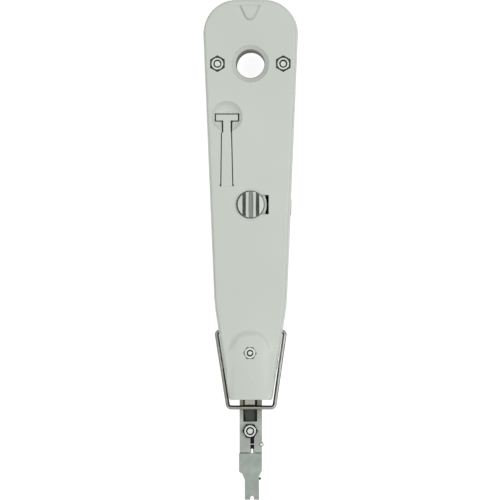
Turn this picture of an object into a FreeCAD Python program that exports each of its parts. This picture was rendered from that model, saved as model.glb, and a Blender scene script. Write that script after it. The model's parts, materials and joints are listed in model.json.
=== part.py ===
import FreeCAD, Part
import math
import os
from FreeCAD import Vector

# Punch down tool, lying on its back. Millimetres.
# X is across the handle, +Y runs from the blade tip to the hanging hole, +Z is the front.

# Driving dimensions.
LENGTH = 178.0
THICKNESS = 20.0
WALL = 2.0
TOP_Y = LENGTH / 2
TIP_Y = -LENGTH / 2
MID_Z = THICKNESS / 2
CLEAR = 0.3

# Handle outline at the parting plane: (x, y, corner radius) of the right half.
TOP_CORNER = (17.5, TOP_Y, 12.05)
KINK = (12.95, -19.3, 60.0)
NOSE_CORNER = (7.7, -53.5, 1.0)
NOSE_Y = NOSE_CORNER[1]
DRAFT_INSET = 0.5
DRAFT = DRAFT_INSET / (MID_Z - 1.0)
FACE_FILLET = 1.0
FACE_STEPS = 4
GROOVE_DEPTH = 0.22
GROOVE_HALF = 0.25

# Hanging hole and the two fold-out pivots.
HOLE_Y = 65.86
HOLE_R = 5.0
HOLE_BEVEL = 1.65
PIVOT_X = 11.64
PIVOT_BOSS_R = 4.4
SLEEVE_R = 2.4
SLOT_HALF = 1.3
FOLD_HALF = 0.9
SLOT_END_Y = 11.6
HUB_R = 4.3
HUB_SLOT_X = PIVOT_X - HUB_R - 0.4
ARM_SLOT_X = 8.6
FOLD_END_Y = 12.4

# Hexagon nuts and screws.
M25_FLATS = 4.82
M25_HEIGHT = 2.0
M25_R = 1.25
M2_FLATS = 4.0
M2_HEIGHT = 1.6
M2_R = 1.0
NUT_FACE = 0.84
NUT_SINK = 0.22
NOSE_NUT_FACE = 0.95
POCKET_GAP = 0.18
NOSE_POCKET_GAP = 0.06
CHAMFER_SLOPE = 0.85

# Raised pads on the front face.
PAD_Y = -36.0
PAD_OUTER_R = 8.25
PAD_INNER_R = 5.35
PAD_HEIGHT = 1.4
NOSE_SCREW_X = -0.1
NOSE_SCREW_Y = -36.4
ARROW_HALF = 3.95
ARROW_X = -0.09
ARROW_TOP_Y = 86.35
ARROW_APEX_Y = 78.1
ARROW_TIP_R = 2.25
ARROW_HEIGHT = 0.75
ARROW_FLANK = 0.85

# Release tongue.
TONGUE_X = -8.26
TONGUE_ROOT_Y = 22.9
TONGUE_WAIST_Y = 41.5
TONGUE_ROOT_LEFT = -10.25
TONGUE_ROOT_RIGHT = -6.37
TONGUE_WAIST_LEFT = -10.03
TONGUE_WAIST_RIGHT = -6.81
STEM_HALF = 1.3
STEM_SLOT_HALF = 1.83
BAR_HALF = 3.86
BAR_SLOT_HALF = 4.36
BAR_BOTTOM_Y = 45.79
BAR_TOP_Y = 47.87
BAR_SLOT_BOTTOM_Y = 45.44
BAR_SLOT_TOP_Y = 48.31
SLIT = 0.36
SLIT_END_R = 0.4
DISH_Y = 47.2
DISH_R = 5.5
DISH_DEPTH = 1.9
DISH_BACK_R = 6.6
DISH_BACK_Z = 16.6

# Slide switch.
SWITCH_X = 0.2
SWITCH_Y = 16.05
SWITCH_TRAVEL = 2.9
SWITCH_WALL = 1.1
CAP_R = 4.85
CAP_Z = THICKNESS + 0.06
CREST_Z = THICKNESS + 2.2
CROWN_R = 4.6
SIDE_GROOVE_TOP = (1.72, 3.02)
SIDE_GROOVE_FLOOR = (1.98, 2.8)
SIDE_GROOVE_Z = CAP_Z + 0.35
MIDDLE_GROOVE_TOP = 0.95
MIDDLE_GROOVE_FLOOR = 0.5
MIDDLE_GROOVE_DEPTH = 0.95
DOME_R = 22.0
STEM_R = 3.3
OPENING_X = -0.05
OPENING_R = 4.95
OPENING_HALF = 3.42
OPENING_END_X = 6.52
FLANGE_HALF = 5.6
FLANGE_LEFT_X = -5.2
FLANGE_END_X = 5.75
FLANGE_END_R = 8.9

# Sliding head.
HEAD_X = 0.045
HEAD_HALF = 3.955
HEAD_TRAVEL = 5.0
HEAD_TOP_Y = -44.8
PLATE_END_Y = -72.4
PLATE_LIP = 0.34
PLATE_LIP_DROP = 0.25
BACK_PLATE_Z = 6.9
BACK_PLATE_T = 1.0
CUTTER_Z = 8.1
CUTTER_T = 1.4
BLADE_Z = 9.8
BLADE_T = 1.4
FRONT_PLATE_Z = BLADE_Z + BLADE_T
FRONT_PLATE_T = 1.2
FRONT_PLATE_TOP = FRONT_PLATE_Z + FRONT_PLATE_T
WINDOW_HALF = 2.48
WINDOW_X = -0.15
WINDOW_BOTTOM_Y = -61.1
WINDOW_TOP_Y = -50.0
RAIL_IN = 3.2
RAIL_END_Y = -61.4
RIVET_X = 2.0
RIVET_Y = -46.2
RIVET_R = 0.7
CUTTER_X = -0.15
CUTTER_Y = -64.35
WIRE_SLOT_LEFT = -0.1
WIRE_SLOT_RIGHT = 1.25
WIRE_SLOT_TOP_Y = -66.2
WIRE_SLOT_NECK_Y = -70.9
WIRE_SLOT_BOTTOM_Y = -72.4
BACK_PLATE_END_Y = -71.0
CROSS_PIN_Y = -69.2
CROSS_PIN_LEFT_X = -0.8
CROSS_PIN_R = 0.35
CROSS_HEAD_X = 3.92
CROSS_HEAD_R = 0.75
NUB = (3.22, -81.6)
NUB_R = 0.42
CUTTER_TURN = math.radians(-6.0)
CAM_Y = -49.0
CAM_R = 0.8
BUSH_R = 2.0
NOTCH_X = 0.5
NOTCH_R = 0.56
NOTCH_DEPTH = 1.35

# Plunger and its spring.
ROD_Z = BLADE_Z + BLADE_T / 2
ROD_BAR_HALF = 2.8
ROD_R = 1.5
ROD_SHOULDER_Y = -27.0
ROD_END_Y = 8.0
COLLAR_R = 3.4
COLLAR_Y = -26.0
COLLAR_T = 2.5
SPRING_R = 2.8
SPRING_WIRE_R = 0.4
SPRING_TURNS = 11
SEAT_Y = 1.5
SEAT_T = 2.0
SEAT_R = 4.2
TUNNEL_R = 3.9
GUIDE_Y = -33.2
GUIDE_T = 2.7
GUIDE_HALF = 4.5

# Guide key under the nose screw.
KEY_X = -0.25
KEY_HALF = 1.8
KEY_Z = FRONT_PLATE_TOP + 0.2
KEY_T = 1.2
KEY_END_Y = -55.0
KEY_TOP_Y = -33.0

# Wire bail.
BAIL_Y = -29.0
BAIL_Z = MID_Z
BAIL_WIRE_R = 0.73
BAIL_LEG_X = 12.305
BAIL_CROSS_X = 0.25
BAIL_CROSS_HALF = 8.18
BAIL_CROSS_Y = -55.9
BAIL_TILT = 11.0
BAIL_IN_X = 8.0
BAIL_HOLE_GAP = 0.055


def box(x0, x1, y0, y1, z0, z1):
    """Box between two corners."""
    return Part.makeBox(x1 - x0, y1 - y0, z1 - z0, Vector(x0, y0, z0))


def pin(x, y, z0, z1, radius):
    """Upright round bar."""
    return Part.makeCylinder(radius, z1 - z0, Vector(x, y, z0))


def bar_along_y(x, z, y0, y1, radius):
    """Round bar along the length of the tool."""
    return Part.makeCylinder(radius, y1 - y0, Vector(x, y0, z), Vector(0, 1, 0))


def fuse(shapes):
    """One solid from several that touch or overlap."""
    return shapes[0].multiFuse(shapes[1:]).removeSplitter()


def mirrored(shape):
    """Copy of a shape on the other side of the centre plane."""
    return shape.mirror(Vector(0, 0, 0), Vector(1, 0, 0))


def rounded_wire(corners, z):
    """Closed wire at height z through corners (x, y, radius)."""
    count = len(corners)
    arcs = []
    for i, (x, y, radius) in enumerate(corners):
        here = Vector(x, y, z)
        to_before = (Vector(*corners[i - 1][:2], z) - here).normalize()
        to_after = (Vector(*corners[(i + 1) % count][:2], z) - here).normalize()
        half = to_before.getAngle(to_after) / 2
        back = radius / math.tan(half)
        inward = (to_before + to_after).normalize()
        middle = here + inward * (radius / math.sin(half) - radius)
        arcs.append((here + to_before * back, middle, here + to_after * back))
    edges = []
    for i, (start, middle, end) in enumerate(arcs):
        edges.append(Part.Arc(start, middle, end).toShape())
        edges.append(Part.makeLine(end, arcs[(i + 1) % count][0]))
    return Part.Wire(edges)


def plate(corners, z0, z1):
    """Flat plate with a rounded outline."""
    return Part.Face(rounded_wire(corners, z0)).extrude(Vector(0, 0, z1 - z0))


def polygon_plate(points, z0, z1):
    """Flat plate with a sharp outline."""
    loop = [Vector(x, y, z0) for x, y in points]
    return Part.Face(Part.makePolygon(loop + loop[:1])).extrude(Vector(0, 0, z1 - z0))


def hexagon(x, y, flats, z0, z1, corners_up):
    """Hexagonal prism; corners_up puts two corners at the top and bottom."""
    turn = math.pi / 6 if corners_up else 0.0
    reach = flats / math.sqrt(3)
    angles = [turn + i * math.pi / 3 for i in range(6)]
    points = [(x + reach * math.cos(a), y + reach * math.sin(a)) for a in angles]
    return polygon_plate(points, z0, z1)


def nut(x, y, flats, z0, z1, bore, corners_up, face=NUT_FACE):
    """Hexagon nut with a countersunk bore; face is how far its flat front reaches to the flats."""
    reach = flats / math.sqrt(3)
    flat_r = flats / 2 * face
    lead = (reach - flat_r) * CHAMFER_SLOPE
    envelope = pin(x, y, z0, z1 - lead, reach)
    crown = Part.makeCone(reach, flat_r, lead, Vector(x, y, z1 - lead))
    body = hexagon(x, y, flats, z0, z1, corners_up).common(fuse([envelope, crown]))
    sink = Part.makeCone(bore, bore + NUT_SINK, NUT_SINK, Vector(x, y, z1 - NUT_SINK))
    return body.cut(pin(x, y, z0, z1, bore)).cut(sink)


def screw(x, y, z0, z1, radius, head_r, head_t):
    """Pan head screw with its head at the back and a cross slot."""
    head = pin(x, y, z0, z0 + head_t, head_r)
    head = head.makeFillet(0.35, [head.Edges[2]])
    cross = [box(x - 1.5, x + 1.5, y - 0.3, y + 0.3, z0, z0 + 0.9),
             box(x - 0.3, x + 0.3, y - 1.5, y + 1.5, z0, z0 + 0.9)]
    end = Part.makeCone(radius, radius - 0.3, 0.3, Vector(x, y, z1 - 0.3))
    shank = fuse([pin(x, y, z0 + head_t, z1 - 0.3, radius), end])
    return fuse([head, shank]).cut(cross[0]).cut(cross[1])


def outline(inset):
    """Corners of the handle outline moved inward by inset, with matching radii."""
    right = [TOP_CORNER, KINK, NOSE_CORNER]
    loop = right + [(-x, y, r) for x, y, r in reversed(right)]
    moved = []
    for i, (x, y, radius) in enumerate(loop):
        here = Vector(x, y, 0)
        to_before = (Vector(*loop[i - 1][:2], 0) - here).normalize()
        to_after = (Vector(*loop[(i + 1) % len(loop)][:2], 0) - here).normalize()
        half = to_before.getAngle(to_after) / 2
        inward = (to_before + to_after).normalize()
        corner = here + inward * (inset / math.sin(half))
        moved.append((corner.x, corner.y, max(radius - inset, 0.3)))
    return moved


def side_at(y, z):
    """Half width of the handle below the kink, at a point of its drafted side."""
    slope = (KINK[0] - NOSE_CORNER[0]) / (KINK[1] - NOSE_CORNER[1])
    return KINK[0] + slope * (y - KINK[1]) - DRAFT * abs(z - MID_Z)


def handle_half(front):
    """Outer form of one shell, with drafted sides and a rounded face edge."""
    way = 1 if front else -1
    levels = [(0.0, GROOVE_DEPTH), (GROOVE_HALF, DRAFT * GROOVE_HALF)]
    for step in range(FACE_STEPS + 1):
        angle = math.pi / 2 * step / FACE_STEPS
        rise = MID_Z - FACE_FILLET + FACE_FILLET * math.sin(angle)
        levels.append((rise, DRAFT_INSET + FACE_FILLET * (1 - math.cos(angle))))
    wires = [rounded_wire(outline(inset), MID_Z + way * rise) for rise, inset in levels]
    return Part.makeLoft(wires, True, True)


def handle_envelope(height):
    """Drafted handle form that runs on above the front face, to trim raised pads."""
    rise = height - MID_Z
    wires = [rounded_wire(outline(0.05), MID_Z), rounded_wire(outline(0.05 + DRAFT * rise), height)]
    return Part.makeLoft(wires, True, True)


def arch_wire(radius, z):
    """Round-headed outline open to the nose."""
    low = NOSE_Y - 3.0
    arc = Part.Arc(Vector(-radius, PAD_Y, z), Vector(0, PAD_Y + radius, z), Vector(radius, PAD_Y, z))
    lines = [Part.makeLine(Vector(radius, PAD_Y, z), Vector(radius, low, z)),
             Part.makeLine(Vector(radius, low, z), Vector(-radius, low, z)),
             Part.makeLine(Vector(-radius, low, z), Vector(-radius, PAD_Y, z))]
    return Part.Wire([arc.toShape()] + lines)


def nose_pad():
    """Raised arch round the nose nut."""
    base = THICKNESS - FACE_FILLET
    grow = (PAD_OUTER_R - PAD_INNER_R) / PAD_HEIGHT * 0.01
    foot = Part.Face(arch_wire(PAD_OUTER_R + grow, base)).extrude(Vector(0, 0, FACE_FILLET))
    rise = Part.makeLoft([arch_wire(PAD_OUTER_R, THICKNESS - 0.01),
                          arch_wire(PAD_INNER_R, THICKNESS + PAD_HEIGHT)], True, True)
    return fuse([foot, rise]).common(handle_envelope(THICKNESS + PAD_HEIGHT))


def arrow_pad():
    """Raised arrow at the hanging end, pointing down the handle."""
    def corners(inset):
        reach = ARROW_HALF - inset
        tip_rise = inset * math.hypot(ARROW_HALF, ARROW_TOP_Y - ARROW_APEX_Y) / ARROW_HALF
        return [(ARROW_X - reach, ARROW_TOP_Y, 0.1), (ARROW_X + reach, ARROW_TOP_Y, 0.1),
                (ARROW_X, ARROW_APEX_Y + tip_rise, ARROW_TIP_R - inset)]
    levels = [(THICKNESS - 0.2, 0.0), (THICKNESS, 0.0), (THICKNESS + ARROW_HEIGHT, ARROW_FLANK)]
    wires = [rounded_wire(corners(inset), z) for z, inset in levels]
    return Part.makeLoft(wires, True, True)


def shell_cavity(front):
    """Hollow of one shell above the nose block, with its bosses and ribs left standing."""
    way = 1 if front else -1
    depth = MID_Z - WALL
    wires = [rounded_wire(outline(WALL), MID_Z - 0.01 * way),
             rounded_wire(outline(WALL + DRAFT * depth), MID_Z + way * depth)]
    hollow = Part.makeLoft(wires, True, True)
    z0, z1 = (MID_Z - 1, THICKNESS) if front else (0, MID_Z + 1)
    hollow = hollow.cut(box(-20, 20, NOSE_Y - 2, -22, z0, z1))
    switch_room = box(-5.5, 9.2, SWITCH_Y - 6.1, SWITCH_Y + 6.1, MID_Z, THICKNESS - SWITCH_WALL)
    if front:
        hollow = fuse([hollow, switch_room])
    kept = [pin(0, HOLE_Y, z0, z1, HOLE_R + 1.9),
            pin(PIVOT_X, HOLE_Y, z0, z1, PIVOT_BOSS_R),
            pin(-PIVOT_X, HOLE_Y, z0, z1, PIVOT_BOSS_R),
            box(-5.6, 5.6, -22.5, SEAT_Y + SEAT_T + 1.5, z0, z1)]
    rib_z = (MID_Z + 1.6, z1) if front else (z0, MID_Z - 1.6)
    for y in (78.0, 55.0, 52.0, -8.0):
        kept.append(box(-20, 20, y - 0.6, y + 0.6, *rib_z))
    if front:
        kept.append(pin(TONGUE_X, DISH_Y, DISH_BACK_Z, THICKNESS, DISH_BACK_R))
    else:
        for y in (36.0, 20.0):
            kept.append(box(-20, 20, y - 0.6, y + 0.6, *rib_z))
    return hollow.cut(kept[0].multiFuse(kept[1:]))


def fold_slots():
    """Slots at the parting plane for the fold-out hook and blade, on both sides."""
    z0, z1 = MID_Z - SLOT_HALF, MID_Z + SLOT_HALF
    arm = box(ARM_SLOT_X, 20, SLOT_END_Y, HOLE_Y, z0, z1)
    hub = box(HUB_SLOT_X, 20, HOLE_Y - HUB_R - 0.4, TOP_Y + 2, z0, z1)
    right = arm.fuse(hub)
    return [right, mirrored(right)]


def head_spaces():
    """Room for the head, plunger, spring and guide inside the handle."""
    top = HEAD_TOP_Y + HEAD_TRAVEL + 0.5
    seat = bar_along_y(0, ROD_Z, SEAT_Y - 0.1, SEAT_Y + SEAT_T, SEAT_R + 0.05)
    return [box(HEAD_X - HEAD_HALF - CLEAR, HEAD_X + HEAD_HALF + CLEAR, NOSE_Y - 2, top,
                BACK_PLATE_Z - CLEAR, FRONT_PLATE_TOP + 0.2),
            box(KEY_X - KEY_HALF - 0.1, KEY_X + KEY_HALF + 0.1, NOSE_Y - 2, KEY_TOP_Y,
                FRONT_PLATE_TOP, KEY_Z + KEY_T),
            box(-ROD_BAR_HALF - CLEAR, ROD_BAR_HALF + CLEAR, top - 1, ROD_SHOULDER_Y - 1,
                BLADE_Z - CLEAR, FRONT_PLATE_Z + CLEAR),
            box(-GUIDE_HALF - 0.02, GUIDE_HALF + 0.02, GUIDE_Y - 0.02, GUIDE_Y + GUIDE_T + 0.02,
                ROD_Z - 2.12, ROD_Z + 2.12),
            bar_along_y(0, ROD_Z, ROD_SHOULDER_Y - 1, SEAT_Y, TUNNEL_R),
            seat,
            bar_along_y(0, ROD_Z, SEAT_Y, SEAT_Y + 5, ROD_R + CLEAR)]


def bail_reach():
    """Length of the bail's legs, from their pivot to the cross wire."""
    return (BAIL_Y - BAIL_CROSS_Y) / math.cos(math.radians(BAIL_TILT))


def bail_holes():
    """Side holes that the in-turned ends of the bail sit in, with a wider mouth for its bend."""
    radius = BAIL_WIRE_R + BAIL_HOLE_GAP
    mouth_x = BAIL_LEG_X - BAIL_WIRE_R - 0.7
    right = []
    for x, r, length in ((BAIL_IN_X - 0.4, radius, 20 - BAIL_IN_X), (mouth_x, radius + 0.3, 5.0)):
        right.append(Part.makeCylinder(r, length, Vector(x, BAIL_Y, BAIL_Z), Vector(1, 0, 0)))
    return right + [mirrored(hole) for hole in right]


def tongue_edges(spare):
    """Outline of the lower tongue, widened by spare on both sides."""
    return [(TONGUE_ROOT_LEFT - spare, TONGUE_ROOT_Y), (TONGUE_WAIST_LEFT - spare, TONGUE_WAIST_Y),
            (TONGUE_WAIST_RIGHT + spare, TONGUE_WAIST_Y), (TONGUE_ROOT_RIGHT + spare, TONGUE_ROOT_Y)]


def dish():
    """Ball that leaves the thumb dish over the tongue's cross bar."""
    radius = (DISH_R ** 2 + DISH_DEPTH ** 2) / (2 * DISH_DEPTH)
    return Part.makeSphere(radius, Vector(TONGUE_X, DISH_Y, THICKNESS + radius - DISH_DEPTH))


def tongue_opening():
    """Slits and T-shaped opening that free the tongue from the front wall."""
    z0, z1 = DISH_BACK_Z - 0.1, THICKNESS + 1
    axis_z = THICKNESS - WALL / 2
    root = Part.makeCylinder(WALL / 2 + 0.05, TONGUE_ROOT_RIGHT - TONGUE_ROOT_LEFT,
                             Vector(TONGUE_ROOT_LEFT, TONGUE_ROOT_Y, axis_z), Vector(1, 0, 0))
    dots = [pin(x, TONGUE_ROOT_Y, z0, z1, SLIT_END_R)
            for x in (TONGUE_ROOT_LEFT - SLIT / 2, TONGUE_ROOT_RIGHT + SLIT / 2)]
    return fuse([polygon_plate(tongue_edges(SLIT), z0, z1), root,
                 box(TONGUE_X - STEM_SLOT_HALF, TONGUE_X + STEM_SLOT_HALF, TONGUE_WAIST_Y - 0.1,
                     BAR_SLOT_BOTTOM_Y + 0.1, z0, z1),
                 box(TONGUE_X - BAR_SLOT_HALF, TONGUE_X + BAR_SLOT_HALF, BAR_SLOT_BOTTOM_Y,
                     BAR_SLOT_TOP_Y, z0, z1)] + dots)


def switch_opening():
    """Keyhole in the front wall that the switch stem runs in."""
    z0, z1 = THICKNESS - WALL - 1, THICKNESS + 1
    return fuse([pin(OPENING_X, SWITCH_Y, z0, z1, OPENING_R),
                 box(OPENING_X, OPENING_END_X, SWITCH_Y - OPENING_HALF, SWITCH_Y + OPENING_HALF, z0, z1)])


def bail_nubs():
    """Small rests on the sides of the front shell that the bail's legs lie beside."""
    z0, z1 = MID_Z + 0.3, MID_Z + 3.0
    nubs = []
    for side in (-1, 1):
        slope = (BAIL_LEG_X - BAIL_CROSS_HALF - side * BAIL_CROSS_X) / bail_reach()
        for y_top, y_bottom in ((-34.9, -37.9), (-39.6, -42.2)):
            points = []
            for y in (y_top, y_bottom):
                along = math.hypot(y - BAIL_Y, z1 - BAIL_Z)
                points.append((side * (BAIL_LEG_X - BAIL_WIRE_R - slope * along - 0.05), y))
            points += [(side * (side_at(y, z1) - 1), y) for y in (y_bottom, y_top)]
            nubs.append(polygon_plate(points, z0, z1))
    return nubs


def hole_bevel(front):
    """Cone that bevels the hanging hole at one face."""
    if front:
        return Part.makeCone(HOLE_R, HOLE_R + HOLE_BEVEL + 1, HOLE_BEVEL + 1,
                             Vector(0, HOLE_Y, THICKNESS - HOLE_BEVEL))
    return Part.makeCone(HOLE_R + HOLE_BEVEL + 1, HOLE_R, HOLE_BEVEL + 1, Vector(0, HOLE_Y, -1))


def front_shell():
    """Front half of the handle, with every opening seen on its face."""
    body = handle_half(True)
    body = fuse([body, nose_pad(), arrow_pad()] + bail_nubs())
    body = body.cut(shell_cavity(True))
    cuts = fold_slots() + head_spaces() + bail_holes()
    cuts += [pin(0, HOLE_Y, 0, THICKNESS + 1, HOLE_R), hole_bevel(True), tongue_opening(),
             dish(), switch_opening()]
    for x in (-PIVOT_X, PIVOT_X):
        cuts.append(pin(x, HOLE_Y, MID_Z - 1, THICKNESS, M25_R + 0.1))
        cuts.append(hexagon(x, HOLE_Y, M25_FLATS + 2 * POCKET_GAP, THICKNESS - M25_HEIGHT,
                            THICKNESS + 1, True))
    pad_z = THICKNESS + PAD_HEIGHT
    cuts.append(pin(NOSE_SCREW_X, NOSE_SCREW_Y, MID_Z - 1, pad_z, M2_R + 0.05))
    cuts.append(hexagon(NOSE_SCREW_X, NOSE_SCREW_Y, M2_FLATS + 2 * NOSE_POCKET_GAP, pad_z - M2_HEIGHT,
                        pad_z + 1, False))
    return body.cut(cuts[0].multiFuse(cuts[1:]))


def rear_shell():
    """Rear half of the handle, with the screw heads let in at the back."""
    body = handle_half(False).cut(shell_cavity(False))
    cuts = fold_slots() + head_spaces() + bail_holes()
    cuts += [pin(0, HOLE_Y, -1, MID_Z + 1, HOLE_R), hole_bevel(False)]
    for x in (-PIVOT_X, PIVOT_X):
        cuts.append(pin(x, HOLE_Y, 0, MID_Z + 1, M25_R + 0.1))
        cuts.append(pin(x, HOLE_Y, -1, 2.2, 2.5))
    cuts.append(pin(NOSE_SCREW_X, NOSE_SCREW_Y, 0, MID_Z + 1, M2_R + 0.05))
    cuts.append(pin(NOSE_SCREW_X, NOSE_SCREW_Y, -1, 2.0, 2.2))
    cuts.append(pin(CUTTER_X, CAM_Y, 2.5, MID_Z, CAM_R))
    return body.cut(cuts[0].multiFuse(cuts[1:]))


def tool_pivot_screws():
    """Screws that the hook and the release blade turn on; the left one is longer."""
    return [screw(-PIVOT_X, HOLE_Y, 0.4, THICKNESS - 0.25, M25_R, 2.35, 1.8),
            screw(PIVOT_X, HOLE_Y, 0.4, THICKNESS - 1.1, M25_R, 2.35, 1.8)]


def tool_pivot_nuts():
    """Nuts on the two pivot screws, sunk flush in the front face."""
    return [nut(x, HOLE_Y, M25_FLATS, THICKNESS - M25_HEIGHT, THICKNESS - 0.05, M25_R, True)
            for x in (-PIVOT_X, PIVOT_X)]


def pivot_sleeves():
    """Steel sleeves between the shells that carry the fold-out pieces."""
    z0, z1 = MID_Z - SLOT_HALF, MID_Z + SLOT_HALF
    return [pin(x, HOLE_Y, z0, z1, SLEEVE_R).cut(pin(x, HOLE_Y, z0, z1, M25_R))
            for x in (-PIVOT_X, PIVOT_X)]


def pivot_washers():
    """Thin washers between each fold-out piece and the front shell."""
    z0, z1 = MID_Z + SLOT_HALF - 0.25, MID_Z + SLOT_HALF
    return [pin(x, HOLE_Y, z0, z1, 3.8).cut(pin(x, HOLE_Y, z0, z1, SLEEVE_R))
            for x in (-PIVOT_X, PIVOT_X)]


def fold_piece(points):
    """Flat fold-out piece on the right pivot, with its hub and bore."""
    z0, z1 = MID_Z - FOLD_HALF, MID_Z + FOLD_HALF
    body = fuse([polygon_plate(points, z0, z1), pin(PIVOT_X, HOLE_Y, z0, z1, HUB_R)])
    return body.cut(pin(PIVOT_X, HOLE_Y, z0, z1, SLEEVE_R + 0.05))


def release_blade():
    """Fold-out blade on the right, flush with the handle's side but for a thumb catch at its end."""
    def side(y, proud):
        return TOP_CORNER[0] - (TOP_Y - y) * (TOP_CORNER[0] - KINK[0]) / (TOP_Y - KINK[1]) + proud
    catch_y = FOLD_END_Y + 5.0
    points = [(PIVOT_X - 2.2, HOLE_Y), (9.3, 58.0), (9.3, 16.5), (12.0, FOLD_END_Y),
              (side(FOLD_END_Y, 0.18), FOLD_END_Y), (side(catch_y, 0.1), catch_y),
              (side(catch_y + 1.5, -0.15), catch_y + 1.5), (side(60.0, -0.15), 60.0),
              (PIVOT_X + HUB_R - 0.3, HOLE_Y)]
    return fold_piece(points)


def wire_hook():
    """Fold-out hook on the left, for drawing wires out of a connector strip."""
    points = [(PIVOT_X - 2.2, HOLE_Y), (9.6, 58.0), (9.6, 30.0), (11.4, 26.0), (11.4, 17.6), (9.4, 16.2),
              (9.4, 15.0), (11.6, 13.6), (13.5, 13.6), (13.5, 26.0), (15.3, 58.0),
              (PIVOT_X + HUB_R - 0.4, HOLE_Y)]
    return mirrored(fold_piece(points))


def release_tongue():
    """Spring tongue with its T-shaped end and the peg under it."""
    z0, z1 = THICKNESS - WALL, THICKNESS
    root = Part.makeCylinder(WALL / 2, TONGUE_ROOT_RIGHT - TONGUE_ROOT_LEFT,
                             Vector(TONGUE_ROOT_LEFT, TONGUE_ROOT_Y, z0 + WALL / 2), Vector(1, 0, 0))
    return fuse([polygon_plate(tongue_edges(0), z0, z1), root,
                 box(TONGUE_X - STEM_HALF, TONGUE_X + STEM_HALF, TONGUE_WAIST_Y - 0.5,
                     BAR_BOTTOM_Y + 0.5, z0, z1),
                 box(TONGUE_X - BAR_HALF, TONGUE_X + BAR_HALF, BAR_BOTTOM_Y, BAR_TOP_Y, z0, z1),
                 pin(TONGUE_X, 43.6, z0 - 3.5, z0 + 0.2, 1.2)])


def switch_plate_top():
    """Height of the face between the knob and the plate under it."""
    return THICKNESS - WALL - 0.8


def knob_groove(section):
    """Groove across the knob, from (x, z) points of its section."""
    loop = [Vector(SWITCH_X + x, SWITCH_Y - 6, z) for x, z in section]
    return Part.Face(Part.makePolygon(loop + loop[:1])).extrude(Vector(0, 12, 0))


def switch_knob():
    """Slide knob with two grip ridges along the tool."""
    sole = THICKNESS - SWITCH_WALL - 0.1
    bottom = switch_plate_top()
    rim = pin(SWITCH_X, SWITCH_Y, CAP_Z, CAP_Z + 0.45, CAP_R)
    dome = Part.makeSphere(DOME_R, Vector(SWITCH_X, SWITCH_Y, CREST_Z + 0.1 - DOME_R))
    crown = pin(SWITCH_X, SWITCH_Y, CAP_Z, CREST_Z, CROWN_R).common(dome)
    above = CREST_Z + 0.1
    for side in (-1, 1):
        (top_in, top_out), (floor_in, floor_out) = SIDE_GROOVE_TOP, SIDE_GROOVE_FLOOR
        crown = crown.cut(knob_groove([(side * top_in, above), (side * floor_in, SIDE_GROOVE_Z),
                                       (side * floor_out, SIDE_GROOVE_Z), (side * top_out, above)]))
    middle_z = CREST_Z - MIDDLE_GROOVE_DEPTH
    crown = crown.cut(knob_groove([(-MIDDLE_GROOVE_TOP, above), (-MIDDLE_GROOVE_FLOOR, middle_z),
                                   (MIDDLE_GROOVE_FLOOR, middle_z), (MIDDLE_GROOVE_TOP, above)]))
    stem = pin(SWITCH_X, SWITCH_Y, bottom, CAP_Z, STEM_R)
    end = pin(FLANGE_END_X - FLANGE_END_R, SWITCH_Y, bottom, sole, FLANGE_END_R)
    flange = end.common(box(FLANGE_LEFT_X, FLANGE_END_X + 1, SWITCH_Y - FLANGE_HALF, SWITCH_Y + FLANGE_HALF,
                            bottom, sole))
    body = fuse([rim, crown, stem, flange])
    return body.cut(pin(SWITCH_X, SWITCH_Y, bottom, sole, 1.0))


def switch_plate():
    """Plate under the knob, with notches for the detent and a finger by the spring seat."""
    top = switch_plate_top()
    body = plate([(-6.0, 10.6, 1.0), (5.0, 10.6, 1.0), (5.0, 22.0, 1.0), (-6.0, 22.0, 1.0)], top - 1.0, top)
    finger = box(-6.0, -4.2, 6.0, 11.6, top - 3.0, top)
    notches = [pin(x, 10.3, top - 1.0, top, 0.8) for x in (1.0, 1.0 - SWITCH_TRAVEL)]
    bore = pin(SWITCH_X, SWITCH_Y, top - 1, top, 1.0)
    return fuse([body, finger]).cut(notches[0]).cut(notches[1]).cut(bore)


def switch_rivet():
    """Rivet that holds the switch plate to the knob."""
    top = switch_plate_top()
    return fuse([pin(SWITCH_X, SWITCH_Y, top - 1.6, top - 1.0, 1.9),
                 pin(SWITCH_X, SWITCH_Y, top - 1.0, THICKNESS - SWITCH_WALL - 0.1, 1.0)])


def detent_spring():
    """Leaf spring with a bump that rests in the notches of the switch plate."""
    top = switch_plate_top()
    leaf = box(-0.8, 10.0, 8.5, 8.8, top - 1.6, THICKNESS - WALL)
    bump = fuse([pin(1.0, 9.78, top - 1.0, top, 0.75), box(0.7, 1.3, 8.8, 9.78, top - 1.0, top)])
    return fuse([leaf.cut(box(0.2, 9.0, 8, 9, top + 0.1, THICKNESS)), bump])


def head_outline(y0, y1, radius):
    """Corners of a head plate between two heights."""
    x0, x1 = HEAD_X - HEAD_HALF, HEAD_X + HEAD_HALF
    return [(x0, y0, radius), (x1, y0, radius), (x1, y1, radius), (x0, y1, radius)]


def cross_pin_room():
    """Hole along X for the cross pin and the seat of its round head."""
    bore = Part.makeCylinder(CROSS_PIN_R + 0.02, CROSS_HEAD_X - CROSS_PIN_LEFT_X + 0.05,
                             Vector(CROSS_PIN_LEFT_X - 0.05, CROSS_PIN_Y, ROD_Z), Vector(1, 0, 0))
    return fuse([bore, pin(CROSS_HEAD_X, CROSS_PIN_Y, BLADE_Z - 1, FRONT_PLATE_TOP + 1, CROSS_HEAD_R + 0.06)])


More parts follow.
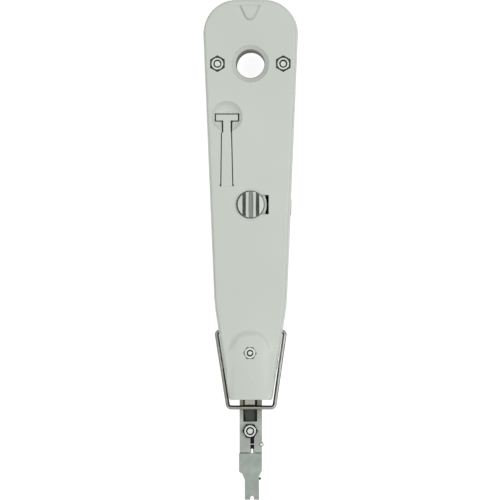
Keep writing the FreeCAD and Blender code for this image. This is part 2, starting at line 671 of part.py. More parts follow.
def wire_slot(z0, z1):
    """Long slot in the middle of the head, with a narrow tapered end below it."""
    x0, x1 = WIRE_SLOT_LEFT, WIRE_SLOT_RIGHT
    radius = (x1 - x0) / 2 - 0.01
    wide = plate([(x0, WIRE_SLOT_NECK_Y, 0.1), (x1, WIRE_SLOT_NECK_Y, 0.1),
                  (x1, WIRE_SLOT_TOP_Y, radius), (x0, WIRE_SLOT_TOP_Y, radius)], z0, z1)
    narrow = plate([(x0 + 0.25, WIRE_SLOT_BOTTOM_Y, 0.2), (x1 - 0.35, WIRE_SLOT_BOTTOM_Y, 0.2),
                    (x1 - 0.5, WIRE_SLOT_NECK_Y + 0.2, 0.1), (x0 + 0.35, WIRE_SLOT_NECK_Y + 0.2, 0.1)],
                   z0, z1)
    return fuse([wide, narrow])


def blade_pin_spots():
    """Centres of the two hidden dowels between blade and front plate."""
    return [(-2.7, -67.6), (2.75, -62.6)]


def plate_lip():
    """Wedge that bevels the lower edge of the front plate."""
    top = FRONT_PLATE_TOP
    loop = [Vector(-HEAD_HALF - 1, y, z) for y, z in (
        (PLATE_END_Y, top - PLATE_LIP_DROP), (PLATE_END_Y + PLATE_LIP, top), (PLATE_END_Y, top))]
    return Part.Face(Part.makePolygon(loop + loop[:1])).extrude(Vector(2 * HEAD_HALF + 2, 0, 0))


def head_channel():
    """Front plate of the head with its window, wire slot and two short rails."""
    z0, z1 = FRONT_PLATE_Z, FRONT_PLATE_TOP
    body = plate(head_outline(PLATE_END_Y, HEAD_TOP_Y, 0.4), z0, z1)
    left, right = WINDOW_X - WINDOW_HALF, WINDOW_X + WINDOW_HALF
    window = plate([(left, WINDOW_BOTTOM_Y, 0.2), (right, WINDOW_BOTTOM_Y, 0.2),
                    (right, WINDOW_TOP_Y, 0.2), (left, WINDOW_TOP_Y, 0.2)], z0 - 1, z1 + 1)
    mouth = polygon_plate([(WIRE_SLOT_LEFT, PLATE_END_Y + 1.3), (WIRE_SLOT_RIGHT, PLATE_END_Y + 1.3),
                           (WIRE_SLOT_RIGHT + 0.6, PLATE_END_Y - 0.5),
                           (WIRE_SLOT_LEFT - 0.4, PLATE_END_Y - 0.5)], z0, z1)
    body = body.cut(window).cut(wire_slot(z0, z1)).cut(mouth).cut(plate_lip())
    body = body.cut(cross_pin_room()).cut(pin(CUTTER_X, CUTTER_Y, z0, z1, M25_R))
    rails = [box(HEAD_X - HEAD_HALF, HEAD_X - RAIL_IN, RAIL_END_Y, HEAD_TOP_Y, BLADE_Z, z0 + 0.2),
             box(HEAD_X + RAIL_IN, HEAD_X + HEAD_HALF, RAIL_END_Y, HEAD_TOP_Y, BLADE_Z, z0 + 0.2)]
    body = fuse([body] + rails)
    for x, y in blade_pin_spots():
        body = body.cut(pin(x, y, z0, z0 + 0.7, 0.6))
    for side in (-1, 1):
        body = body.cut(pin(HEAD_X + side * RIVET_X, RIVET_Y, z0 - 1, z1, RIVET_R))
    return body


def head_back_plate():
    """Rear plate of the head, slotted for the cam pin."""
    z0, z1 = BACK_PLATE_Z, BACK_PLATE_Z + BACK_PLATE_T
    body = plate(head_outline(BACK_PLATE_END_Y, HEAD_TOP_Y, 0.8), z0, z1)
    body = body.cut(pin(CUTTER_X, CUTTER_Y, z0, z1, M25_R))
    slot_low = CAM_Y - HEAD_TRAVEL - CAM_R - CLEAR
    slot_half = CAM_R + 0.2
    body = body.cut(box(CUTTER_X - slot_half, CUTTER_X + slot_half, slot_low, CAM_Y + CAM_R + CLEAR, z0, z1))
    for side in (-1, 1):
        body = body.cut(pin(HEAD_X + side * RIVET_X, RIVET_Y, z0, z1, RIVET_R))
    return body


def head_rivets():
    """Rivets that tie the head plates to the plunger."""
    return [pin(HEAD_X + side * RIVET_X, RIVET_Y, BACK_PLATE_Z, FRONT_PLATE_TOP, RIVET_R) for side in (-1, 1)]


def head_spacers():
    """Spacer tubes on the rivets behind the plunger."""
    z0, z1 = BACK_PLATE_Z + BACK_PLATE_T, BLADE_Z
    return [pin(HEAD_X + side * RIVET_X, RIVET_Y, z0, z1, 1.15).cut(
        pin(HEAD_X + side * RIVET_X, RIVET_Y, z0, z1, RIVET_R)) for side in (-1, 1)]


def insertion_blade():
    """Blade that pushes the wire into the contact, with its notch and wire slot."""
    z0, z1 = BLADE_Z, BLADE_Z + BLADE_T
    body = plate([(-3.85, -61.5, 0.2), (-3.85, -72.2, 0.2), (-4.16, -72.6, 0.2), (-4.16, -79.1, 0.7),
                  (-3.0, -79.7, 0.9), (-2.1, -82.0, 0.9), (-2.1, TIP_Y, 0.1), (3.02, TIP_Y, 0.1),
                  (2.93, -80.9, 0.3), (4.0, -78.6, 0.6), (4.0, -61.5, 0.2)], z0, z1)
    root_y = TIP_Y + NOTCH_DEPTH - NOTCH_R
    mouth_half = NOTCH_R + 0.25
    sides = polygon_plate([(NOTCH_X - NOTCH_R, root_y), (NOTCH_X - mouth_half, TIP_Y - 0.1),
                           (NOTCH_X + mouth_half, TIP_Y - 0.1), (NOTCH_X + NOTCH_R, root_y)], z0, z1)
    notch = fuse([pin(NOTCH_X, root_y, z0, z1, NOTCH_R), sides])
    body = body.cut(notch).cut(wire_slot(z0, z1)).cut(cross_pin_room())
    body = body.cut(pin(CUTTER_X, CUTTER_Y, z0, z1, M25_R))
    for x, y in blade_pin_spots():
        body = body.cut(pin(x, y, z0, z1, 0.6))
    return body


def blade_pins():
    """Dowels that keep the insertion blade square in the head."""
    return [pin(x, y, BLADE_Z, FRONT_PLATE_Z + 0.7, 0.6) for x, y in blade_pin_spots()]


def cutter_screw():
    """Screw that the cutter turns on."""
    return screw(CUTTER_X, CUTTER_Y, BACK_PLATE_Z - 1.3, FRONT_PLATE_TOP + M25_HEIGHT + 0.15, M25_R, 2.2, 1.3)


def cutter_nut():
    """Nut on the front end of the cutter screw."""
    top = FRONT_PLATE_TOP + M25_HEIGHT
    return nut(CUTTER_X, CUTTER_Y, M25_FLATS, FRONT_PLATE_TOP, top, M25_R, False)


def cutter_bush():
    """Bush on the screw between the plates, which the cutter's bore runs on."""
    z0, z1 = BACK_PLATE_Z + BACK_PLATE_T, BLADE_Z
    return pin(CUTTER_X, CUTTER_Y, z0, z1, BUSH_R).cut(pin(CUTTER_X, CUTTER_Y, z0, z1, M25_R))


def cam_slot(z0, z1):
    """Curved slot in the cutter that the fixed cam pin follows as the head slides in."""
    spots = []
    for step in range(7):
        part = step / 6
        turn = -CUTTER_TURN * part
        reach = CAM_Y - CUTTER_Y - HEAD_TRAVEL * part
        spots.append(pin(CUTTER_X - reach * math.sin(turn), CUTTER_Y + reach * math.cos(turn),
                         z0, z1, CAM_R + 0.15))
    return spots[0].multiFuse(spots[1:])


def cutter_lever():
    """Cutter behind the blade, with its cam arm above the pivot and a small nub beside the tip."""
    z0, z1 = CUTTER_Z, CUTTER_Z + CUTTER_T
    points = [(-1.55, -47.9), (1.65, -47.9), (1.65, -61.5), (3.05, -63.0), (3.25, -67.5), (3.75, -70.2),
              (3.75, -78.2), (2.75, -80.6), (2.85, -88.2), (1.55, -88.6), (1.7, -84.0), (2.0, -76.0),
              (2.1, -70.95), (-1.2, -70.9), (-2.9, -66.0), (-2.9, -63.0), (-1.9, -61.0),
              (-2.3, -56.5), (-2.3, -52.0)]
    arm = box(2.5, NUB[0], NUB[1] - 0.2, NUB[1] + 0.2, z0, z1)
    body = fuse([polygon_plate(points, z0, z1), arm, pin(*NUB, z0, z1, NUB_R)])
    return body.cut(pin(CUTTER_X, CUTTER_Y, z0, z1, BUSH_R + 0.05)).cut(cam_slot(z0, z1))


def cross_pin():
    """Pin across the wire slot, with its round head at the right edge of the head."""
    bar = Part.makeCylinder(CROSS_PIN_R, CROSS_HEAD_X - CROSS_PIN_LEFT_X,
                            Vector(CROSS_PIN_LEFT_X, CROSS_PIN_Y, ROD_Z), Vector(1, 0, 0))
    head = pin(CROSS_HEAD_X, CROSS_PIN_Y, BLADE_Z, FRONT_PLATE_TOP + 0.25, CROSS_HEAD_R)
    return fuse([bar, head.makeFillet(0.2, [head.Edges[0]])])


def cam_pin():
    """Pin in the rear shell that turns the cutter through its cam slot."""
    return pin(CUTTER_X, CAM_Y, 2.5, CUTTER_Z + CUTTER_T - 0.2, CAM_R)


def guide_key():
    """Key held by the nose screw; its lug runs in the window of the head."""
    x0, x1 = KEY_X - KEY_HALF, KEY_X + KEY_HALF
    strip = box(x0, x1, KEY_END_Y, KEY_TOP_Y, KEY_Z, KEY_Z + KEY_T)
    lug = box(x0, x1, KEY_END_Y, -51.6, FRONT_PLATE_Z + 0.2, KEY_Z)
    return fuse([strip, lug]).cut(pin(NOSE_SCREW_X, NOSE_SCREW_Y, KEY_Z, KEY_Z + KEY_T, M2_R + 0.05))


def nose_screw():
    """Screw through the nose; the slot of the plunger runs past it."""
    return screw(NOSE_SCREW_X, NOSE_SCREW_Y, 0.4, THICKNESS + PAD_HEIGHT - 0.3, M2_R, 2.0, 1.6)


def nose_nut():
    """Nut sunk in the raised arch."""
    pad_z = THICKNESS + PAD_HEIGHT
    return nut(NOSE_SCREW_X, NOSE_SCREW_Y, M2_FLATS, pad_z - M2_HEIGHT, pad_z - 0.04, M2_R, False,
               NOSE_NUT_FACE)


def plunger_rod():
    """Flat shank of the head, drawn out to a round rod inside the spring."""
    shank = plate([(-ROD_BAR_HALF, HEAD_TOP_Y - 3.6, 0.3), (ROD_BAR_HALF, HEAD_TOP_Y - 3.6, 0.3),
                   (ROD_BAR_HALF, ROD_SHOULDER_Y, 0.3), (-ROD_BAR_HALF, ROD_SHOULDER_Y, 0.3)],
                  BLADE_Z, FRONT_PLATE_Z)
    half = M2_R + 0.3
    slot = plate([(-half, NOSE_SCREW_Y - HEAD_TRAVEL - half, half - 0.01),
                  (half, NOSE_SCREW_Y - HEAD_TRAVEL - half, half - 0.01),
                  (half, NOSE_SCREW_Y + half, half - 0.01), (-half, NOSE_SCREW_Y + half, half - 0.01)],
                 BLADE_Z - 1, FRONT_PLATE_Z + 1)
    rod = bar_along_y(0, ROD_Z, ROD_SHOULDER_Y - 0.5, ROD_END_Y, ROD_R)
    body = fuse([shank.cut(slot), rod])
    for side in (-1, 1):
        body = body.cut(pin(HEAD_X + side * RIVET_X, RIVET_Y, BLADE_Z, FRONT_PLATE_Z, RIVET_R))
    return body


def ring_along_y(y0, y1, outer, inner):
    """Ring round the plunger rod."""
    return bar_along_y(0, ROD_Z, y0, y1, outer).cut(bar_along_y(0, ROD_Z, y0, y1, inner))


def plunger_collar():
    """Collar that the spring pushes on."""
    return ring_along_y(COLLAR_Y, COLLAR_Y + COLLAR_T, COLLAR_R, ROD_R)


def spring_seat():
    """Seat that takes the upper end of the spring."""
    return ring_along_y(SEAT_Y, SEAT_Y + SEAT_T, SEAT_R, ROD_R + 0.1)


def rod_guide():
    """Block in the nose with a rectangular slot that guides the shank."""
    z_half = 2.1
    body = box(-GUIDE_HALF, GUIDE_HALF, GUIDE_Y, GUIDE_Y + GUIDE_T, ROD_Z - z_half, ROD_Z + z_half)
    slot_half, slot_z = ROD_BAR_HALF + 0.1, BLADE_T / 2 + 0.1
    return body.cut(box(-slot_half, slot_half, GUIDE_Y, GUIDE_Y + GUIDE_T, ROD_Z - slot_z, ROD_Z + slot_z))


def main_spring():
    """Compression spring round the plunger rod."""
    y0 = COLLAR_Y + COLLAR_T + SPRING_WIRE_R + 0.02
    y1 = SEAT_Y - SPRING_WIRE_R - 0.02
    pitch = (y1 - y0) / SPRING_TURNS
    helix = Part.makeHelix(pitch, y1 - y0, SPRING_R)
    profile = Part.Wire([Part.makeCircle(SPRING_WIRE_R, Vector(SPRING_R, 0, 0), Vector(0, 1, 0))])
    coil = Part.Wire(helix.Edges).makePipeShell([profile], True, True)
    coil.rotate(Vector(0, 0, 0), Vector(1, 0, 0), -90)
    coil.translate(Vector(0, y0, ROD_Z))
    return coil


def wire_bail():
    """Wire bail, its ends turned in to the sides of the nose."""
    reach = bail_reach()
    stops = [(BAIL_IN_X, 0.0, 0.0), (BAIL_LEG_X, 0.0, 1.15),
             (BAIL_CROSS_X + BAIL_CROSS_HALF, -reach, 1.35), (BAIL_CROSS_X - BAIL_CROSS_HALF, -reach, 1.35),
             (-BAIL_LEG_X, 0.0, 1.15), (-BAIL_IN_X, 0.0, 0.0)]
    edges = []
    last = Vector(*stops[0][:2], 0)
    for i in range(1, len(stops) - 1):
        here = Vector(*stops[i][:2], 0)
        to_before = (Vector(*stops[i - 1][:2], 0) - here).normalize()
        to_after = (Vector(*stops[i + 1][:2], 0) - here).normalize()
        half = to_before.getAngle(to_after) / 2
        radius = stops[i][2]
        back = radius / math.tan(half)
        middle = here + (to_before + to_after).normalize() * (radius / math.sin(half) - radius)
        edges.append(Part.makeLine(last, here + to_before * back))
        last = here + to_after * back
        edges.append(Part.Arc(here + to_before * back, middle, last).toShape())
    edges.append(Part.makeLine(last, Vector(*stops[-1][:2], 0)))
    profile = Part.Wire([Part.makeCircle(BAIL_WIRE_R, Vector(BAIL_IN_X, 0, 0), Vector(1, 0, 0))])
    wire = Part.Wire(edges).makePipeShell([profile], True, True)
    wire.rotate(Vector(0, 0, 0), Vector(1, 0, 0), -BAIL_TILT)
    wire.translate(Vector(0, BAIL_Y, BAIL_Z))
    return wire


PARTS = [front_shell, rear_shell, tool_pivot_screws, tool_pivot_nuts, pivot_sleeves, pivot_washers,
         release_blade, wire_hook, release_tongue, switch_knob, switch_plate, switch_rivet, detent_spring,
         head_channel, head_back_plate, head_rivets, head_spacers, insertion_blade, blade_pins,
         cutter_screw, cutter_nut, cutter_bush, cutter_lever, cross_pin, cam_pin,
         guide_key, nose_screw, nose_nut, plunger_rod, plunger_collar, spring_seat, rod_guide,
         main_spring, wire_bail]

os.makedirs("parts", exist_ok=True)
for make in PARTS:
    made = make()
    shape = Part.makeCompound(made) if isinstance(made, list) else made
    shape.exportStep("parts/" + make.__name__ + ".step")
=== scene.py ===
import json
import math

import bmesh
import bpy
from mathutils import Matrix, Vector


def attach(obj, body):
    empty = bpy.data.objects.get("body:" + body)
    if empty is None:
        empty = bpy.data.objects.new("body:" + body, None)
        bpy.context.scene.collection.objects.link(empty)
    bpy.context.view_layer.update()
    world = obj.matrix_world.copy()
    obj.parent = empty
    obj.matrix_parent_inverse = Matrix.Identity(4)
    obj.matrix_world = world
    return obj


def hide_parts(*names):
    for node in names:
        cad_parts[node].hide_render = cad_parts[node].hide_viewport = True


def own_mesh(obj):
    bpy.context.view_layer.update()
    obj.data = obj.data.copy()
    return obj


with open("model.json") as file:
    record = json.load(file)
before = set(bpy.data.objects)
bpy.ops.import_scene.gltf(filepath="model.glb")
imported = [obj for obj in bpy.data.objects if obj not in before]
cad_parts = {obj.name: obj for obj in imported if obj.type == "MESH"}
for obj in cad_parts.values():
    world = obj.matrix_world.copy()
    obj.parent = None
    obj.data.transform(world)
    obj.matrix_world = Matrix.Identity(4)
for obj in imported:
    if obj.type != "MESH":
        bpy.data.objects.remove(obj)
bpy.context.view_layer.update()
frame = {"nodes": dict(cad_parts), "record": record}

NODES = frame["nodes"]
RECORD = frame["record"]
BODY_OF = {node: body for body, members in RECORD["behaviour"]["bodies"].items() for node in members}
SLOT_OF = {part["node"]: part["material_slot"] for part in RECORD["subparts"]}
MM = 0.001

# The view: down on the face, handle end up, from a little to the right of straight above.
FRAME_WIDTH = 177.7 * MM
CAMERA_HEIGHT = 1.05
CAMERA_AIM = Vector((-0.2 * MM, 0.0, 14 * MM))
CAMERA_LEAN = math.radians(0.85)
CAMERA_SENSOR = 36.0
CAMERA_REACH = 10.0

# The sky is dark round the horizon and white overhead. Heights are the sine of the angle above it.
SKY_DARK_HEIGHT = 0.55
SKY_WHITE_HEIGHT = 0.80
SKY_DARK = (0.04, 0.04, 0.04)
SKY_WHITE = (1.0, 1.0, 1.0)
SKY_STRENGTH = 1.32

# Lamps: name, place in metres, side of the square in metres, power in watts.
LAMPS = [("key", (0.45, 0.0, 0.85), 0.35, 3.0),
         ("fill", (-0.6, -0.2, 0.8), 0.8, 0.5)]

FLOOR_HALF_WIDTH = 3.0
FLOOR_DROP = 0.05 * MM
FLOOR_GREY = (0.3, 0.3, 0.3)
FLOOR_GLOW = 0.9
FLOOR_ROUGHNESS = 0.9

# Surface detail. A noise scale is roughly the number of features in one metre.
# Tones are factors on a colour. A spread is how far the roughness goes below and above its usual value.
CLOUD_SCALE = 35.0
CLOUD_DETAIL = 3.0
CLOUD_TONES = (0.97, 1.02)
PLASTIC_GRAIN_SCALE = 2600.0
PLASTIC_GRAIN_DETAIL = 2.0
PLASTIC_GRAIN_HEIGHT = 0.02 * MM
PLASTIC_ROUGHNESS_SPREAD = (0.06, 0.08)
PLASTIC_SPECULAR = 0.4
MOTTLE_SCALE = 260.0
MOTTLE_DETAIL = 5.0
MOTTLE_TONES = (0.86, 1.10)
METAL_MARK_SCALE = 1800.0
METAL_MARK_DETAIL = 3.0
METAL_MARK_HEIGHT = 0.012 * MM
METAL_ROUGHNESS_SPREAD = (0.08, 0.10)
METALLIC = 0.9
DRAWN_ALONG_Y = (1.0, 0.15, 1.0)

# How squarely a surface has to face a centre (-1) or turn away from it (1) to be dark or light.
INWARD_DARK = -0.7
INWARD_LIGHT = 0.2
# Upright part of the normal below which a surface is a flank, and above which it is a face.
FLANK_UPRIGHT = 0.86
FACE_UPRIGHT = 0.98

WHITE = (1.0, 1.0, 1.0)
HOLE_CENTRE = next(mount["pos_m"] for mount in RECORD["mounts"] if mount["name"] == "hanging_hole")
BAIL_CENTRE = (0.0, -43 * MM, 0.0)

# Clean-up of the CAD meshes and rounding of their edges.
MERGE_DISTANCE = 0.002 * MM
FLAT_ANGLE = math.radians(0.4)
SHARP_ANGLE = math.radians(28.0)
BEVEL_SEGMENTS = 2
USUAL_BEVEL = 0.08 * MM
BEVELS = {"front_shell": 0.15 * MM, "rear_shell": 0.15 * MM, "release_tongue": 0.12 * MM,
          "wire_bail": 0.0, "main_spring": 0.0}


# ---------------------------------------------------------------- camera, light and floor

def add_object(name, data):
    """New object in the scene."""
    thing = bpy.data.objects.new(name, data)
    bpy.context.scene.collection.objects.link(thing)
    return thing


def make_camera():
    """Long lens over the tool, framed so that the whole tool fills the height of the picture."""
    data = bpy.data.cameras.new("camera")
    data.sensor_width = CAMERA_SENSOR
    data.lens = CAMERA_SENSOR * CAMERA_HEIGHT / FRAME_WIDTH
    data.clip_end = CAMERA_REACH
    camera = add_object("camera", data)
    towards_camera = Vector((math.sin(CAMERA_LEAN), 0, math.cos(CAMERA_LEAN)))
    camera.location = CAMERA_AIM + towards_camera * CAMERA_HEIGHT
    camera.rotation_euler = (0, CAMERA_LEAN, 0)
    bpy.context.scene.camera = camera


def area_light(name, place, size, power):
    """Soft square lamp pointed at the middle of the tool."""
    data = bpy.data.lights.new(name, "AREA")
    data.size = size
    data.energy = power
    lamp = add_object(name, data)
    lamp.location = place
    lamp.rotation_euler = (-Vector(place)).to_track_quat("-Z", "Y").to_euler()


def make_light():
    """Broad soft light from overhead, dark round the horizon, and two large lamps."""
    world = bpy.data.worlds.new("studio")
    world.use_nodes = True
    tree = world.node_tree
    place = tree.nodes.new("ShaderNodeTexCoord")
    split = tree.nodes.new("ShaderNodeSeparateXYZ")
    ramp = tree.nodes.new("ShaderNodeValToRGB")
    background = tree.nodes["Background"]
    tree.links.new(place.outputs["Generated"], split.inputs["Vector"])
    tree.links.new(split.outputs["Z"], ramp.inputs["Fac"])
    tree.links.new(ramp.outputs["Color"], background.inputs["Color"])
    dark, white = ramp.color_ramp.elements
    dark.position = SKY_DARK_HEIGHT
    dark.color = (*SKY_DARK, 1)
    white.position = SKY_WHITE_HEIGHT
    white.color = (*SKY_WHITE, 1)
    background.inputs["Strength"].default_value = SKY_STRENGTH
    bpy.context.scene.world = world
    for lamp in LAMPS:
        area_light(*lamp)


def make_floor():
    """Pale table, lit from within so that it stays white beside the tool and through its hole."""
    bm = bmesh.new()
    bmesh.ops.create_grid(bm, x_segments=1, y_segments=1, size=FLOOR_HALF_WIDTH)
    mesh = bpy.data.meshes.new("floor")
    bm.to_mesh(mesh)
    bm.free()
    floor = add_object("floor", mesh)
    floor.location.z = -FLOOR_DROP
    material = bpy.data.materials.new("floor_white")
    material.use_nodes = True
    shader = material.node_tree.nodes["Principled BSDF"]
    shader.inputs["Base Color"].default_value = (*FLOOR_GREY, 1)
    shader.inputs["Roughness"].default_value = FLOOR_ROUGHNESS
    shader.inputs["Specular IOR Level"].default_value = 0.0
    shader.inputs["Emission Color"].default_value = (*WHITE, 1)
    shader.inputs["Emission Strength"].default_value = FLOOR_GLOW
    mesh.materials.append(material)


# ---------------------------------------------------------------- materials

def scaled(colour, factor):
    """A colour made lighter or darker."""
    return tuple(part * factor for part in colour)


class Nodes:
    """Short way to add and link the nodes of one material.

    Stops are pairs of a distance in millimetres and a brightness or colour. Weights are pairs of a
    distance in millimetres and how strongly a shade acts there: 0 not at all, 1 as given.
    """

    def __init__(self, name):
        self.material = bpy.data.materials.new(name)
        self.material.use_nodes = True
        self.tree = self.material.node_tree
        self.shader = self.tree.nodes["Principled BSDF"]
        coordinates = self.add("ShaderNodeTexCoord")
        self.place = coordinates.outputs["Object"]
        self.normal = coordinates.outputs["Normal"]

    def add(self, kind, **values):
        """New node with the given properties."""
        node = self.tree.nodes.new(kind)
        for key, value in values.items():
            setattr(node, key, value)
        return node

    def link(self, source, target):
        """Link an output to an input."""
        self.tree.links.new(source, target)

    def noise(self, scale, detail, stretch=None):
        """Noise with features about 1 / scale metres across, stretched if asked."""
        node = self.add("ShaderNodeTexNoise")
        node.inputs["Scale"].default_value = scale
        node.inputs["Detail"].default_value = detail
        place = self.place
        if stretch:
            mapping = self.add("ShaderNodeMapping")
            mapping.inputs["Scale"].default_value = stretch
            self.link(place, mapping.inputs["Vector"])
            place = mapping.outputs["Vector"]
        self.link(place, node.inputs["Vector"])
        return node.outputs["Fac"]

    def ramp(self, source, low, high, start=0.3, end=0.7):
        """Colours from low to high as source goes from start to end."""
        node = self.add("ShaderNodeValToRGB")
        node.color_ramp.elements[0].position = start
        node.color_ramp.elements[0].color = (*low, 1)
        node.color_ramp.elements[1].position = end
        node.color_ramp.elements[1].color = (*high, 1)
        self.link(source, node.inputs["Fac"])
        return node.outputs["Color"]

    def level(self, source, low, high):
        """Number from low to high as source goes from 0 to 1."""
        node = self.add("ShaderNodeMapRange")
        node.inputs["To Min"].default_value = low
        node.inputs["To Max"].default_value = high
        self.link(source, node.inputs["Value"])
        return node.outputs["Result"]

    def fraction(self, source, start, end):
        """Number from 0 to 1 as source goes from start to end."""
        node = self.add("ShaderNodeMapRange")
        node.inputs["From Min"].default_value = start
        node.inputs["From Max"].default_value = end
        self.link(source, node.inputs["Value"])
        return node.outputs["Result"]

    def product(self, first, second):
        """One colour multiplied by another."""
        node = self.add("ShaderNodeVectorMath", operation="MULTIPLY")
        self.link(first, node.inputs[0])
        self.link(second, node.inputs[1])
        return node.outputs["Vector"]

    def bump(self, source, height):
        """Relief from source, height metres high."""
        node = self.add("ShaderNodeBump")
        node.inputs["Distance"].default_value = height
        node.inputs["Strength"].default_value = 1.0
        self.link(source, node.inputs["Height"])
        self.link(node.outputs["Normal"], self.shader.inputs["Normal"])

    def mottled(self, colour, tones, scale, detail, stretch=None):
        """The colour, drifting between two tones of itself."""
        low, high = (scaled(colour, tone) for tone in tones)
        return self.ramp(self.noise(scale, detail, stretch), low, high)

    def grain(self, roughness, spread, height, scale, detail, stretch=None):
        """Fine marks in the roughness and the relief."""
        below, above = spread
        marks = self.noise(scale, detail, stretch)
        self.link(self.level(marks, roughness - below, roughness + above), self.shader.inputs["Roughness"])
        self.bump(marks, height)

    def banded(self, source, stops):
        """Grey or tint that follows a distance."""
        start, end = stops[0][0], stops[-1][0]
        part = self.fraction(source, start * MM, end * MM)
        ramp = self.add("ShaderNodeValToRGB")
        tones = ramp.color_ramp.elements
        while len(tones) < len(stops):
            # The loop below moves each tone to its real place.
            tones.new(0.5)
        for tone, (place, shade) in zip(tones, stops):
            colour = shade if isinstance(shade, tuple) else (shade, shade, shade)
            tone.position = (place - start) / (end - start)
            tone.color = (*colour, 1)
        self.link(part, ramp.inputs["Fac"])
        return ramp.outputs["Color"]

    def shade_along(self, axis, stops):
        """Grey or tint that changes along one axis of the tool."""
        split = self.add("ShaderNodeSeparateXYZ")
        self.link(self.place, split.inputs["Vector"])
        return self.banded(split.outputs[axis], stops)

    def weighted(self, grey, axis, weights):
        """A grey whose strength changes along one axis of the tool."""
        power = self.add("ShaderNodeMath", operation="POWER")
        self.link(grey, power.inputs[0])
        self.link(self.shade_along(axis, weights), power.inputs[1])
        return power.outputs["Value"]

    def level_offset(self, centre):
        """Vector from a centre to the surface, level with the tool's face."""
        outward = self.add("ShaderNodeVectorMath", operation="SUBTRACT")
        self.link(self.place, outward.inputs[0])
        outward.inputs[1].default_value = centre
        flat = self.add("ShaderNodeVectorMath", operation="MULTIPLY")
        self.link(outward.outputs["Vector"], flat.inputs[0])
        flat.inputs[1].default_value = (1.0, 1.0, 0.0)
        return flat.outputs["Vector"]

    def shade_inward(self, centre, dark, weights):
        """Grey that is dark on the sides facing a centre; weights run along Y."""
        unit = self.add("ShaderNodeVectorMath", operation="NORMALIZE")
        self.link(self.level_offset(centre), unit.inputs[0])
        facing = self.add("ShaderNodeVectorMath", operation="DOT_PRODUCT")
        self.link(unit.outputs["Vector"], facing.inputs[0])
        self.link(self.normal, facing.inputs[1])
        part = self.fraction(facing.outputs["Value"], INWARD_DARK, INWARD_LIGHT)
        grey = self.ramp(part, (dark, dark, dark), WHITE, 0.0, 1.0)
        return self.weighted(grey, "Y", weights)

    def shade_flanks(self, dark, weights):
        """Grey that is light on faces square to the tool's face and dark on chamfers and flanks;
        weights run along Y."""
        split = self.add("ShaderNodeSeparateXYZ")
        self.link(self.normal, split.inputs["Vector"])
        upright = self.add("ShaderNodeMath", operation="ABSOLUTE")
        self.link(split.outputs["Z"], upright.inputs[0])
        grey = self.ramp(upright.outputs["Value"], (dark, dark, dark), WHITE, FLANK_UPRIGHT, FACE_UPRIGHT)
        return self.weighted(grey, "Y", weights)

    def shade_around(self, centre, stops, weights):
        """Grey that changes with the distance from a line square to the tool's face;
        weights run along Z."""
        reach = self.add("ShaderNodeVectorMath", operation="LENGTH")
        self.link(self.level_offset(centre), reach.inputs[0])
        return self.weighted(self.banded(reach.outputs["Value"], stops), "Z", weights)


def plastic(name, colour, roughness=0.42, shade=None, hole=None):
    """Moulded plastic with fine spark-eroded grain and a faint cloudiness, and painted shade and light
    where asked.
    """
    n = Nodes(name)
    cloud_and_shade = n.mottled(colour, CLOUD_TONES, CLOUD_SCALE, CLOUD_DETAIL)
    # Painted shade along one axis, where asked.
    if shade:
        cloud_and_shade = n.product(cloud_and_shade, n.shade_along(*shade))
    n.shader.inputs["Specular IOR Level"].default_value = PLASTIC_SPECULAR
    # Painted shade on the hole's wall and painted light on its bevel; the wall's reflection is mostly
    # taken out as well.
    if hole:
        rings = n.shade_around(*hole)
        cloud_and_shade = n.product(cloud_and_shade, rings)
        n.link(n.level(rings, 0.0, PLASTIC_SPECULAR), n.shader.inputs["Specular IOR Level"])
    n.link(cloud_and_shade, n.shader.inputs["Base Color"])
    n.grain(roughness, PLASTIC_ROUGHNESS_SPREAD, PLASTIC_GRAIN_HEIGHT,
            PLASTIC_GRAIN_SCALE, PLASTIC_GRAIN_DETAIL)
    return n.material


def metal(name, colour, roughness, stretch=None, shade=None, inward=None, flank=None):
    """Metal with grain or drawing marks in its colour, roughness and relief, and painted shade where
    asked.
    """
    n = Nodes(name)
    mottle_and_shade = n.mottled(colour, MOTTLE_TONES, MOTTLE_SCALE, MOTTLE_DETAIL, stretch)
    # Where asked: a grey or tint along one axis, which is painted shade on the head and in the wire slot;
    # painted shade on sides facing a centre; and painted shade on chamfers and flanks.
    if shade:
        mottle_and_shade = n.product(mottle_and_shade, n.shade_along(*shade))
    if inward:
        mottle_and_shade = n.product(mottle_and_shade, n.shade_inward(*inward))
    if flank:
        mottle_and_shade = n.product(mottle_and_shade, n.shade_flanks(*flank))
    n.link(mottle_and_shade, n.shader.inputs["Base Color"])
    n.shader.inputs["Metallic"].default_value = METALLIC
    n.grain(roughness, METAL_ROUGHNESS_SPREAD, METAL_MARK_HEIGHT,
            METAL_MARK_SCALE, METAL_MARK_DETAIL, stretch)
    return n.material


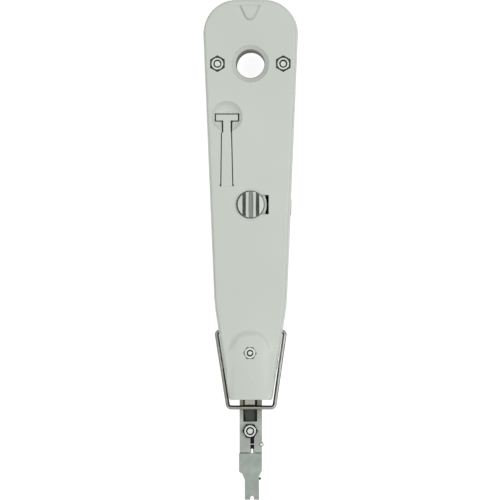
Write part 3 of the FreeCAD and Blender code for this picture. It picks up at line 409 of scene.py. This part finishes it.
def make_materials():
    """One material per slot of the record."""
    # Painted shade in the grooves of the knob, below its crest, and on the rim of its cap.
    groove_shade = ("Z", [(19.0, 1.0), (19.9, 0.12), (20.4, 0.12), (21.3, 0.4), (21.7, 1.0)])
    # Painted shade, tinted brown, on the head near the nose.
    nose_shade = ("Y", [(-61.0, 1.0), (-57.0, (0.8, 0.77, 0.66)), (-52.0, (0.68, 0.65, 0.54))])
    # The blade turns a little darker towards its tip.
    blade_tip_darker = ("Y", [(-89.0, 0.88), (-78.0, 1.0)])
    # Painted shade on the dark steel in and below the wire slot.
    slot_shade = ("Y", [(-66.0, 0.4), (-63.0, 1.0)])
    # Painted shade on the bail's inner side, strongest on the cross wire; it is left off beside the four
    # rests, which the wire reflects.
    bail_weights = [(-55.4, 2.0), (-53.5, 1.0),
                    (-42.8, 1.0), (-41.8, 0.0), (-39.8, 0.0), (-39.2, 1.0),
                    (-38.5, 1.0), (-37.9, 0.0), (-34.9, 0.0), (-34.3, 1.0)]
    bail_inner_shade = (BAIL_CENTRE, 0.05, bail_weights)
    # Painted shade on the wall of the hanging hole, least near the face, and painted light on its bevel.
    hole_stops = [(5.05, 0.06), (5.15, 1.08), (5.8, 1.2), (6.6, 1.12), (6.7, 1.0)]
    hole_weights = [(8.0, 1.0), (17.5, 0.35), (18.3, 0.35), (18.4, 1.0)]
    hole_shade = (HOLE_CENTRE, hole_stops, hole_weights)
    # Painted shade on the chamfers and flanks of fasteners, strong on the head and weaker in the handle's
    # pockets.
    flank_shade = (0.08, [(-62.0, 1.0), (-55.0, 0.25)])
    return {
        "handle_plastic": plastic("handle_plastic", (0.520, 0.556, 0.508), hole=hole_shade),
        "knob_plastic": plastic("knob_plastic", (0.53, 0.56, 0.52), roughness=0.38, shade=groove_shade),
        "key_plastic": plastic("key_plastic", (0.50, 0.49, 0.42), roughness=0.5),
        "plated_steel": metal("plated_steel", (0.50, 0.52, 0.49), roughness=0.22, flank=flank_shade),
        "blade_steel": metal("blade_steel", (0.250, 0.286, 0.258), roughness=0.45, shade=blade_tip_darker),
        "head_steel": metal("head_steel", (0.268, 0.293, 0.264), roughness=0.42, shade=nose_shade),
        "wire_steel": metal("wire_steel", (0.40, 0.403, 0.37), roughness=0.4,
                            stretch=DRAWN_ALONG_Y, inward=bail_inner_shade),
        "spring_steel": metal("spring_steel", (0.22, 0.225, 0.23), roughness=0.35),
        "dark_steel": metal("dark_steel", (0.05, 0.055, 0.05), roughness=0.45, shade=slot_shade),
    }


# ---------------------------------------------------------------- pieces

def clean_mesh(node):
    """Mesh of a CAD node with flat faces joined up, smooth shading and its sharp edges marked."""
    bm = bmesh.new()
    bm.from_mesh(NODES[node].data)
    bmesh.ops.remove_doubles(bm, verts=bm.verts, dist=MERGE_DISTANCE)
    bmesh.ops.dissolve_limit(bm, angle_limit=FLAT_ANGLE, verts=bm.verts, edges=bm.edges)
    for face in bm.faces:
        face.smooth = True
    for edge in bm.edges:
        edge.smooth = not (edge.is_manifold and edge.calc_face_angle(0) > SHARP_ANGLE)
    mesh = bpy.data.meshes.new(node + ".mesh")
    bm.to_mesh(mesh)
    bm.free()
    return mesh


def smooth_piece(node, bevel):
    """Copy of a CAD node with clean faces, small edge rounding and smooth shading."""
    piece = add_object(node + ".piece", clean_mesh(node))
    if bevel:
        modifier = piece.modifiers.new("edge", "BEVEL")
        modifier.width = bevel
        modifier.segments = BEVEL_SEGMENTS
        modifier.limit_method = "ANGLE"
        modifier.angle_limit = SHARP_ANGLE
        modifier.harden_normals = True
        modifier.use_clamp_overlap = True
    normals = piece.modifiers.new("normals", "WEIGHTED_NORMAL")
    normals.keep_sharp = True
    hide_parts(node)
    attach(piece, BODY_OF[node])
    return piece


def compress_spring(piece):
    """Gives the spring a mesh of its own."""
    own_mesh(piece)


def dress_nodes(materials):
    """Every CAD node gets its piece and its slot's material."""
    for node in NODES:
        piece = smooth_piece(node, BEVELS.get(node, USUAL_BEVEL))
        piece.data.materials.append(materials[SLOT_OF[node]])
        if node == "main_spring":
            compress_spring(piece)


bpy.context.scene.view_settings.view_transform = "Standard"
make_camera()
make_light()
make_floor()
dress_nodes(make_materials())
